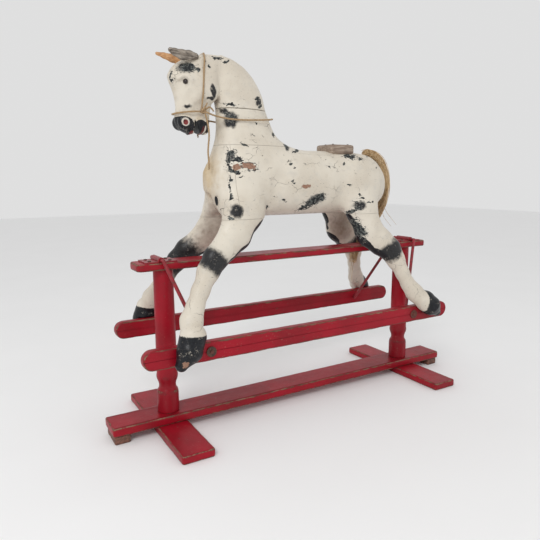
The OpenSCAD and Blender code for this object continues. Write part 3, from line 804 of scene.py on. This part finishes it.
# Whole paint left standing inside flaked places.
KEPT = [
    (238, 62, 694, 10, 30, 9, 0), (243, 60, 712, 4, 30, 5, 0), (-19, 63, 592, 4.5, 20, 4, 0),
    (362, 20, 930, 5, 8, 3, 40), (380, 12, 903, 3, 8, 4, 0), (346, 30, 931, 4, 8, 3, 0),
]
# Bare wood.
BARE = [
    (201, 74, 690, 23, 30, 9, 4), (236, 64, 687, 10, 30, 8, 0), (24, 75, 637, 17, 30, 5.5, 0),
    (440, 197, 236, 9, 16, 10, 40), (441, 200, 292, 4, 10, 4, 0), (-6, -76, 660, 22, 30, 7, 0),
]
# Yellowed varnish.
STAIN = [
    (392, 0, 852, 27, 42, 62, 0), (292, 0, 680, 50, 74, 120, 0), (276, 0, 790, 30, 40, 66, 0),
    (150, 0, 905, 44, 18, 80, 50), (-240, 0, 730, 80, 70, 30, 20), (316, 0, 800, 22, 60, 26, 0),
]
# Painted shade: dark brown on the undersides and inner legs, between the legs and under the jaw, where
# shade falls.
PAINTED_SHADE = [
    (282, -30, 520, 110, 52, 90, 0), (-190, -30, 500, 90, 58, 90, 0), (0, 0, 550, 260, 66, 20, 0),
    (262, 20, 580, 30, 26, 60, 0), (-300, 0, 600, 30, 30, 70, 0), (240, 0, 800, 16, 60, 30, 0),
    (300, 30, 520, 100, 30, 60, 0), (-190, 40, 520, 60, 26, 60, 0), (262, 0, 850, 10, 60, 36, 0),
]
# Long cracks in the paint.
CRACK = [
    (180, 49, 770, 17, 20, 1.8, -24), (143, 46, 769, 17, 20, 1.8, 31), (-55, 56, 713, 22, 20, 2.0, -26),
    (-86, 50, 721, 16, 20, 2.0, -8), (-146, 76, 674, 26, 20, 2.0, 68), (-157, 86, 630, 24, 20, 2.0, 80),
    (252, 20, 836, 14, 30, 5, 0), (215, 30, 840, 12, 30, 3, 0), (254, 60, 700, 2.2, 40, 60, 0),
    (262, 30, 838, 22, 30, 3.0, -4),
]


def paint_marks(mesh):
    """Stores how deep each point lies in each kind of mark, for the paint to read."""
    still = points_of(mesh)
    shift = [smooth_noise(still, 17, 5 + k) * 1.6 + smooth_noise(still, 8, 15 + k) * 0.9
             for k in range(3)]
    bent = still + np.stack(shift, 1)
    for name, marks in (("black", BLACK), ("bare", BARE), ("stain", STAIN), ("painted_shade", PAINTED_SHADE),
                        ("crack", CRACK)):
        store(mesh, name, amount(bent, marks))
    store(mesh, "chip", np.minimum(amount(bent, CHIP), -amount(bent, KEPT)))
    store(mesh, "lacquer", amount(still * 0.7 + bent * 0.3, LACQUER))
    store(mesh, "white", amount(still, WHITE))
    store(mesh, "lips", amount(still, LIPS))


def horse_piece(name, source, planes, material):
    mesh = cut_mesh(source.copy(), planes)
    mesh.name = name + "_carved"
    paint_marks(mesh)
    slot = "worn_ear_wood" if name == "right_ear" else "cream_painted_wood"
    return place_piece(name + "_carved", mesh, material, "horse", [name])


def leg_mesh(leg, hoof, side, back):
    rows = [set_back(row, back) for row in leg]
    hoof_rows = [set_back(row, back) for row in hoof]
    xs = [row[0] for row in rows + hoof_rows]
    low_y, high_y = sorted((side * 10, side * 215))
    clay = Clay((min(xs) - 72, low_y, 205), (max(xs) + 72, high_y, 575), LEG_STEP)
    clay.add(loft_x(clay, BODY, 2.2))
    chain(clay, rows, side, 12)
    chain(clay, hoof_rows, side, 4)
    clay.cut(np.maximum(clay.y * side - RAIL_FACE, clay.z - RAIL_TOP) + clay.x * 0)
    return clay.mesh("leg")


def build_horse():
    paint = horse_paint("aged_cream_paint")
    torso = Clay((-320, -112, 520), (308, 112, 790), TORSO_STEP)
    sculpt_body(torso)
    whole = torso.mesh("torso")
    up, down, ahead, back = (0, 0, 1), (0, 0, -1), (1, 0, 0), (-1, 0, 0)
    over_belly = ((0, 0, BELLY + SEAM_GAP), down)
    under_neck = ((0, 0, NECK_SEAM - SEAM_GAP), up)
    barrel = [((CHEST_SEAM - 0.4, 0, 0), ahead), ((RUMP_SEAM + SEAM_GAP, 0, 0), back)]
    level = [((0, 0, HOLLOW_TOP), up), ((0, 0, HOLLOW_BASE), down)]
    for name, planes in (
            ("chest_block", [over_belly, under_neck, ((CHEST_SEAM + 0.4, 0, 0), back)]),
            ("rump_block", [over_belly, ((RUMP_SEAM - SEAM_GAP, 0, 0), ahead)]),
            ("upper_body_board", barrel + [under_neck, ((0, 0, HOLLOW_TOP), down)]),
            ("lower_body_board", barrel + [over_belly, ((0, 0, HOLLOW_BASE), up)]),
            ("left_body_side", barrel + level + [((0, HOLLOW_SIDE, 0), (0, -1, 0))]),
            ("right_body_side", barrel + level + [((0, -HOLLOW_SIDE, 0), (0, 1, 0))])):
        horse_piece(name, whole, planes, paint)

    neck = Clay((20, -92, 730), (300, 92, 860), NECK_STEP)
    sculpt_body(neck)
    neck.cut(HEAD_SEAM + 12 - neck.z + neck.x * 0 + neck.y * 0)
    horse_piece("neck_block", neck.mesh("neck"),
                [((0, 0, NECK_SEAM + SEAM_GAP), down), ((0, 0, HEAD_SEAM - 0.8), up)], paint)

    head = Clay((90, -60, 755), (404, 60, 985), HEAD_STEP)
    sculpt_head(head)
    horse_piece("head_block", head.mesh("head"), [], paint)

    grey = bare_wood("weathered_grey_ear", (0.36, 0.31, 0.255), (0.085, 0.065, 0.052), "x")
    tan = bare_wood("bare_ear_wood", (0.62, 0.345, 0.155), (0.40, 0.190, 0.075), "x")
    for name, side, rows, wood in (("left_ear", 1, LEFT_EAR, grey), ("right_ear", -1, RIGHT_EAR, tan)):
        low_y, high_y = sorted((side * 15, side * 60))
        ear = Clay((300, low_y, 925), (406, high_y, 978), EAR_STEP)
        sculpt_ear(ear, side, rows)
        horse_piece(name, ear.mesh(name), [], wood)

    for name, leg, hoof, side, shift in (
            ("left_fore_leg", FORE_LEG, FORE_HOOF, 1, 0),
            ("right_fore_leg", FORE_LEG, FORE_HOOF, -1, 0),
            ("left_hind_leg", HIND_LEG, HIND_HOOF, 1, 0),
            ("right_hind_leg", HIND_LEG, HIND_HOOF, -1, RIGHT_HIND_SET_BACK)):
        horse_piece(name, leg_mesh(leg, hoof, side, shift), [((0, 0, BELLY - SEAM_GAP), up)], paint)


# ---------------------------------------------------------------- the stand


def plank(node, outline, low, high, rounding, material, seed, dents, body="stand", axes="xy"):
    """A board cut to an outline, with rounded, dented edges. Axes puts u, v and thickness on x, y and z."""
    outline = np.array(outline, float)
    after, before = np.roll(outline, -1, 0), np.roll(outline, 1, 0)
    run = after - before
    out = np.stack([run[:, 1], -run[:, 0]], 1)
    out /= np.linalg.norm(out, axis=1)[:, None]
    thick = high - low
    r = rounding
    rows = [(6.5, 0.0, 0.0), (r + 0.6, 0.0, 0.55), (r * 0.45, r * 0.12, 0.9), (r * 0.12, r * 0.45, 1.0),
            (0.0, r + 0.6, 0.55)]
    middle = [(0.0, min(9.0, thick * 0.4), 0.0)]
    rings = rows + middle + [(a, thick - b, c) for a, b, c in reversed(rows + middle)]
    points, worn = [], []
    for inset, height, edge in rings:
        flat = outline - out * inset
        points.append(np.column_stack([flat, np.full(len(flat), low + height)]))
        worn.append(np.full(len(flat), edge))
    points, worn = np.concatenate(points), np.concatenate(worn)
    dips = np.minimum(smooth_noise(points, 22, seed + 1), -0.2)
    push = smooth_noise(points, 60, seed) * 0.35 + dips * 0.8
    sides = np.tile(out, (len(rings), 1))
    points[:, :2] += sides * (push * worn * dents)[:, None]
    faces = ring_faces(len(rings), len(outline))
    spot = dict(xy=(0, 1, 2), xz=(0, 2, 1))[axes]
    placed = np.empty_like(points)
    for source, target in enumerate(spot):
        placed[:, target] = points[:, source]
    if axes == "xz":
        faces = [face[::-1] for face in faces]
    mesh = mesh_from(node + "_worn", placed * MM, faces)
    store(mesh, "edge", worn)
    place_piece(node + "_worn", mesh, material, body, [node])
    for cap in list(mesh.polygons)[-2:]:
        cap.use_smooth = False


def board_outline(length, width, corner, mid=(0, 0), step=16):
    """A rectangle with rounded corners, drawn anticlockwise with a point every step."""
    corner = min(corner, width / 2 - 0.01, length / 2 - 0.01)
    points = []
    for turn, (sx, sy) in enumerate(((1, -1), (1, 1), (-1, 1), (-1, -1))):
        cx, cy = sx * (length / 2 - corner), sy * (width / 2 - corner)
        count = max(4, int(corner / 2.5))
        for k in range(count + 1):
            angle = math.radians(-90 + turn * 90 + 90 * k / count)
            points.append((cx + corner * math.cos(angle), cy + corner * math.sin(angle)))
    full = []
    for a, b in zip(points, points[1:] + points[:1]):
        gap = math.dist(a, b)
        count = max(1, int(gap / step))
        for k in range(count):
            if gap > 0.05:
                u = a[0] + (b[0] - a[0]) * k / count
                v = a[1] + (b[1] - a[1]) * k / count
                full.append((u + mid[0], v + mid[1]))
    return full


def turned(node, profile, mid, material, seed):
    """A lathe-turned piece. Profile is (radius, height, edge wear)."""
    around = 72
    rows = []
    for (r0, z0, e0), (r1, z1, e1) in zip(profile, profile[1:]):
        count = max(1, int(math.hypot(r1 - r0, z1 - z0) / 7))
        rows += [(r0 + (r1 - r0) * k / count, z0 + (z1 - z0) * k / count, e0 + (e1 - e0) * k / count)
                 for k in range(count)]
    rows.append(profile[-1])
    angle = np.linspace(0, 2 * math.pi, around, endpoint=False)
    points, worn = [], []
    for radius, height, edge in rows:
        points.append(np.column_stack([radius * np.cos(angle), radius * np.sin(angle),
                                       np.full(around, height)]))
        worn.append(np.full(around, edge))
    points, worn = np.concatenate(points), np.concatenate(worn)
    points[:, :2] *= (1 + smooth_noise(points, 45, seed) * 0.004)[:, None]
    points[:, :2] += np.array(mid)
    mesh = mesh_from(node + "_turned", points * MM, ring_faces(len(rows), around))
    store(mesh, "edge", worn)
    place_piece(node + "_turned", mesh, material, "stand", [node])


# Pillar: radius, height, edge wear.
PILLAR = [
    (28.5, 45.6, 0.9), (28.8, 47.5, 0.6), (28.8, 52, 0.0), (28.8, 94, 0.0), (28.5, 98.5, 0.75),
    (27.2, 105.5, 0.8), (24.0, 110, 0.2), (22.6, 114, 0), (22.3, 119.5, 0), (23.0, 125, 0),
    (25.0, 131, 0.1), (27.2, 136.5, 0.5), (28.4, 142.5, 0.7), (28.2, 148, 0.6), (27.2, 153, 0.35),
    (27.1, 158.5, 0.1), (26.6, 250, 0), (25.9, 380, 0), (25.6, 428, 0.2), (25.5, 431.9, 0.5),
]
# Where the stand's parts sit, from the middle of the stand.
FOOT_X, END_BLOCK_X, PILLAR_X, HOOF_RAIL_Y, HOOF_RAIL_Z = 420, 552.5, 418, 144, 243.5
HOOF_RAIL_HALF = 12.9


def build_stand():
    length_red = red_paint("crimson_paint_lengthwise", "x")
    cross_red = red_paint("crimson_paint_crosswise", "y")
    upright_red = red_paint("crimson_paint_upright", "z", 0.6)
    iron = red_iron("red_painted_iron")
    brown = bare_wood("rubbed_brown_wood", (0.210, 0.085, 0.055), (0.095, 0.040, 0.026), "y")
    plank("base_rail", board_outline(1154, 85.6, 5), 21.6, 45.4, 4.5, length_red, 11, 0.9)
    for word, s, seed in (("front", 1, 21), ("rear", -1, 31)):
        foot = board_outline(84.6, 429.6, 6, (s * FOOT_X, 0))
        plank(word + "_cross_foot", foot, 0.1, 21.4, 4.0, cross_red, seed, 0.9)
        block = board_outline(41.6, 78.6, 5, (s * END_BLOCK_X, 0))
        plank(word + "_end_block", block, 0.1, 21.4, 3.5, brown, seed + 1, 0.9)
        turned(word + "_pillar", PILLAR, (s * PILLAR_X, 0), upright_red, seed + 2)
    plank("top_rail", board_outline(989, 73.6, 13), 432.1, 451.8, 4.5, length_red, 41, 1.0)
    for word, s, seed, mid_x in (("left", 1, 51, 27), ("right", -1, 61, 15)):
        rail = board_outline(999, 48.6, 24.2, (mid_x, HOOF_RAIL_Z))
        low, high = s * HOOF_RAIL_Y - HOOF_RAIL_HALF, s * HOOF_RAIL_Y + HOOF_RAIL_HALF
        plank(word + "_hoof_rail", rail, low, high, 4.5, length_red, seed, 0.9, "horse", "xz")
    rust = rusted_steel("rusted_steel")
    for name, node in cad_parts.items():
        if name == "front_iron_washers" or "screws" in name or "nails" in name:
            use_material(node, rust)
        elif "iron" in name:
            use_material(node, iron)


def use_material(node, material):
    node.data.materials.clear()
    node.data.materials.append(material)


# ---------------------------------------------------------------- twine

TWINE_RADIUS = 2.1
TWINE_STEP = 0.9
TWINE_LAY = 9.0
ROPE_AROUND = 24


def curve_points(points, step):
    """Evenly spaced points on a smooth curve through the given points."""
    p = np.array(points, float)
    ends = np.vstack([2 * p[0] - p[1], p, 2 * p[-1] - p[-2]])
    dense = []
    for i in range(1, len(ends) - 2):
        a, b, c, d = ends[i - 1:i + 3]
        for t in np.linspace(0, 1, 12, endpoint=False):
            dense.append(0.5 * (2 * b + (c - a) * t + (2 * a - 5 * b + 4 * c - d) * t ** 2
                                + (3 * b - a - 3 * c + d) * t ** 3))
    dense.append(p[-1])
    dense = np.array(dense)
    along = np.concatenate([[0], np.cumsum(np.linalg.norm(np.diff(dense, axis=0), axis=1))])
    wanted = np.linspace(0, along[-1], max(3, int(along[-1] / step) + 1))
    return np.column_stack([np.interp(wanted, along, dense[:, k]) for k in range(3)])


def frames_along(path):
    """Two directions square to the path at each point, turning as little as possible."""
    run = np.gradient(path, axis=0)
    run /= np.maximum(np.linalg.norm(run, axis=1), 1e-9)[:, None]
    side = np.cross(run[0], (0.31, 0.83, 0.45))
    sides = []
    for way in run:
        side = side - way * (side @ way)
        side = side / np.linalg.norm(side)
        sides.append(side)
    sides = np.array(sides)
    return sides, np.cross(run, sides)


def tube(path, reach, around):
    """Points and faces of a closed tube. Reach is its radius at each ring, or at each ring's points."""
    sides, ups = frames_along(path)
    angle = np.linspace(0, 2 * math.pi, around, endpoint=False)
    across, rise = np.cos(angle)[None, :, None], np.sin(angle)[None, :, None]
    out = across * sides[:, None, :] + rise * ups[:, None, :]
    rings = path[:, None, :] + reach[:, :, None] * out
    return rings.reshape(-1, 3), ring_faces(len(path), around)


class Bundle:
    """Collects many tubes into one mesh."""

    def __init__(self):
        self.points, self.faces, self.count = [], [], 0

    def add(self, path, radii, around):
        self.put(*tube(path, radii[:, None], around))

    def put(self, points, faces):
        self.points.append(points)
        self.faces += [tuple(i + self.count for i in face) for face in faces]
        self.count += len(points)

    def rope(self, points, radius=TWINE_RADIUS):
        """One tube with three twisted lobes, like three-strand twine."""
        path = curve_points(points, TWINE_STEP)
        angle = np.linspace(0, 2 * math.pi, ROPE_AROUND, endpoint=False)
        turn = np.arange(len(path)) * TWINE_STEP * 2 * math.pi / TWINE_LAY
        lobes = np.abs(np.cos(1.5 * (angle[None, :] - turn[:, None])))
        self.put(*tube(path, radius * (0.80 + 0.30 * lobes), ROPE_AROUND))

    def fuzz(self, points, radius, share, frayed):
        """Loose fibres standing off a twine, and its unravelled end."""
        path = curve_points(points, 1.1)
        sides, ups = frames_along(path)
        for _ in range(int(len(path) * share)):
            k = int(seeded.integers(0, max(1, len(path) - 8)))
            turn = seeded.uniform(0, ANY_WAY)
            out = math.cos(turn) * sides[k] + math.sin(turn) * ups[k]
            start = path[k] + out * radius * 0.7
            run = path[min(k + 6, len(path) - 1)] - path[k]
            run /= max(np.linalg.norm(run), 1e-6)
            reach = seeded.uniform(1.5, 4.0)
            half = start + (run * 0.8 + out * 0.5) * reach * 0.5
            end = start + (run * 1.2 + out) * reach
            line = np.array([start, half, end])
            self.add(line, np.array([0.16, 0.13, 0.06]), 3)
        if frayed:
            side, up, tip = sides[-1], ups[-1], path[-1]
            run = path[-1] - path[-4]
            run /= np.linalg.norm(run)
            for _ in range(18):
                out = side * seeded.normal() + up * seeded.normal()
                start = tip - run * 2 + out * 0.5
                half = start + run * frayed * 0.5 + out * 0.35
                end = start + run * frayed * seeded.uniform(0.7, 1) + out * 0.9
                line = np.array([start, half, end])
                self.add(line, np.array([0.3, 0.26, 0.12]), 4)

    def twine(self, points, radius=TWINE_RADIUS, frayed=0.0):
        self.rope(points, radius)
        self.fuzz(points, radius, 0.3, frayed)

    def mesh(self, name):
        return mesh_from(name, np.concatenate(self.points) * MM, self.faces)


NOSEBAND = [(376, 0, 818), (371, 16, 819), (356, 27, 821), (335, 33, 823), (312, 34, 824)]
CHEEK = [
    (290, 0, 969), (296, 18, 965), (301, 33, 950), (305, 38, 928), (307, 39, 900), (309, 38, 868),
    (312, 35, 838), (312, 34, 828),
]
REIN = [
    (307, 38, 822), (280, 41, 815), (250, 43, 810), (215, 46, 808), (175, 48, 809), (135, 42, 812),
    (106, 28, 816), (88, 0, 820),
]
LONG_END = [
    (306, 40, 818), (303, 41, 806), (300, 41, 794), (298, 41, 782), (297, 40, 770), (297, 39, 758),
    (298, 38, 746), (299, 37, 734), (299, 36, 722), (298, 36, 710), (297, 35, 698), (297, 35, 686),
]
SHORT_END = [
    (304, -40, 818), (301, -41, 810), (298, -41, 802), (296, -41, 794), (295, -40, 786),
    (294, -40, 778), (294, -39, 770),
]

# The turns and loose ends of a bit knot: points, radius, frayed length.
KNOT_ENDS = [
    ([(313, 36, 820), (315, 43, 826), (308, 44, 832), (303, 38, 828)], 2.0, 0.0),
    ([(306, 41, 828), (298, 45, 834), (292, 46, 832), (286, 45, 826)], 1.9, 5.0),
    ([(310, 41, 830), (305, 44, 838), (302, 44, 843)], 1.9, 4.0),
]


def mirrored(points):
    return [(x, -y, z) for x, y, z in points]


def route_length(points):
    path = curve_points(points, 1.0)
    return float(np.linalg.norm(np.diff(path, axis=0), axis=1).sum()) * MM


def build_cords():
    """The two loose ends of the reins, which hang from the knots at the bit."""
    twine = jute("jute_twine")
    for name, points in (("long_rein_end", LONG_END), ("short_rein_end", SHORT_END)):
        bundle, loose = Bundle(), Bundle()
        bundle.rope(points)
        loose.fuzz(points, TWINE_RADIUS, 0.35, 7.0)
        piece = place_piece(name + "_twine", bundle.mesh(name), twine, "horse", [name])
        fibres = place_piece(name + "_fibres", loose.mesh(name + "_fibres"), twine, "horse", [])
        route_length(points)
        [tuple(v * MM for v in p) for p in curve_points(points, 0.9)]
    return twine


def build_bridle(twine):
    """The twine tied round the head and neck, and the knots at the corners of the mouth."""
    for name, chains in (("bridle_string", (NOSEBAND, CHEEK)), ("rein_string", (REIN,))):
        bundle = Bundle()
        for chain in chains:
            loop = chain[::-1] + mirrored(chain[1:])
            bundle.twine(loop)
        place_piece(name + "_twine", bundle.mesh(name), twine, "horse", [name])
    bundle = Bundle()
    for s in (1, -1):
        for lift, lean in ((-3.5, 0.0), (1.0, 0.4), (5.0, -0.3)):
            ring = []
            for a in np.linspace(0.2, 6.1, 12):
                x, y = 309 + 6.0 * math.cos(a), s * (37 + 5.2 * math.sin(a))
                ring.append((x, y, 825 + lift + lean * 6 * math.cos(a)))
            bundle.twine(ring, 2.0)
        for points, radius, frayed in KNOT_ENDS:
            bundle.twine([(x, s * y, z) for x, y, z in points], radius, frayed)
    place_piece("bridle_knot_twine", bundle.mesh("bridle_knot"), twine, "horse", ["bridle_knot"])


# ---------------------------------------------------------------- tail, eyes, saddle block

# Tail: x, y, z, thickness off the rump, width across it.
TAIL = [
    (-246, 0, 737, 9, 12), (-260, 0, 736, 12, 15), (-286, 0, 726, 14, 17), (-312, -1, 702, 17, 20),
    (-328, -4, 658, 19, 22), (-334, -14, 602, 20, 23), (-328, -34, 547, 19, 21),
    (-309, -58, 500, 17, 18), (-290, -68, 455, 15, 18), (-273, -69, 415, 13, 19),
    (-265, -68, 380, 11, 20),
]


def build_tail():
    """Several hundred fine locks laid over the rump and down between the hind legs."""
    hair = straw_hair("straw_hair")
    spine = curve_points([t[:3] for t in TAIL], 9.0)
    along = np.linspace(0, 1, len(spine))
    marks = np.linspace(0, 1, len(TAIL))
    deep = np.interp(along, marks, [t[3] for t in TAIL])
    wide = np.interp(along, marks, [t[4] for t in TAIL])
    run = np.gradient(spine, axis=0)
    run /= np.linalg.norm(run, axis=1)[:, None]
    off = np.cross(run, np.tile((0.0, 1.0, 0.0), (len(run), 1)))
    off /= np.linalg.norm(off, axis=1)[:, None]
    across = np.cross(off, run)
    clumps = [(seeded.uniform(0, ANY_WAY), math.sqrt(seeded.uniform(0.03, 1.0)) * 0.86,
               seeded.uniform(0, ANY_WAY), seeded.uniform(0.10, 0.26), seeded.uniform(0.70, 1.08))
              for _ in range(44)]
    bundle = Bundle()
    for lock in range(836):
        turn, reach, wave, pace, length = clumps[lock % len(clumps)]
        first = 0 if lock % 5 else int(seeded.integers(0, len(spine) // 2))
        last = int(len(spine) * min(1.0, length * seeded.uniform(0.92, 1.06)))
        if last - first < 6:
            continue
        own = seeded.normal(0, 0.24, 2)
        k = np.arange(first, last)
        gather = np.interp(k, [0, len(spine) * 0.5, len(spine)], [1.0, 0.75, 0.40])
        drift = turn + 0.32 * np.sin(k * pace + wave)
        loose = reach * (1 + 0.12 * np.sin(k * 0.21 + wave * 2))
        across_by = np.sin(drift) * loose + own[0] * gather
        off_by = np.cos(drift) * loose + own[1] * gather
        lift, shift = (off_by * deep[k])[:, None], (across_by * wide[k])[:, None]
        line = spine[k] + lift * off[k] + shift * across[k]
        size = seeded.uniform(0.4, 1.0)
        taper = np.interp(np.arange(len(k)), [0, 2, len(k) * 0.75, len(k) - 1], [0.5, 1.0, 0.85, 0.18])
        bundle.add(line, size * taper, 4)
    strays = [((-326, -10, 590), (-352, 0, 545), (-386, 8, 506)),
              ((-324, -14, 580), (-344, -6, 532), (-368, 2, 502)),
              ((-270, -62, 400), (-258, -58, 362), (-252, -56, 322)),
              ((-268, -70, 400), (-262, -71, 364), (-258, -72, 334))]
    for start, mid, end in strays:
        line = curve_points([start, mid, end], 6.0)
        bundle.add(line, np.linspace(0.9, 0.35, len(line)), 4)
    place_piece("tail_hair_strands", bundle.mesh("tail_hair"), hair, "horse", ["tail_hair"])


EYE_RADIUS = 0.0064
EYE_PLACE = (0.352, 0.0305, 0.893)


def build_eyes():
    """Glass eyes with a raised front."""
    glass = dark_glass("eye_glass")
    for word, s in (("left", 1), ("right", -1)):
        eye = bmesh.new()
        bmesh.ops.create_uvsphere(eye, u_segments=40, v_segments=24, radius=EYE_RADIUS)
        for vert in eye.verts:
            out = max(0.0, vert.co.y * s / EYE_RADIUS)
            vert.co *= 1 + 0.10 * max(0.0, out - 0.72) / 0.28
            vert.co += Vector((EYE_PLACE[0], s * EYE_PLACE[1], EYE_PLACE[2]))
        mesh = bpy.data.meshes.new(word + "_eye")
        eye.to_mesh(mesh)
        eye.free()
        place_piece(word + "_eye_domed", mesh, glass, "horse", [word + "_glass_eye"])


def build_saddle_block():
    wood = bare_wood("saddle_block_wood", (0.40, 0.315, 0.245), (0.215, 0.150, 0.110), "x")
    outline = board_outline(94, 84, 20, (-132, 0), 8)
    plank("saddle_block", outline, 728, 756.0, 7.0, wood, 71, 1.0, "horse", "xy")
    for node in ("tail_peg", "leg_dowels", "neck_dowels"):
        use_material(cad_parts[node], wood)


# ---------------------------------------------------------------- the whole model

add_camera()
add_studio()
jute_material = build_cords()
build_horse()
build_stand()
build_bridle(jute_material)
build_tail()
build_eyes()
build_saddle_block()
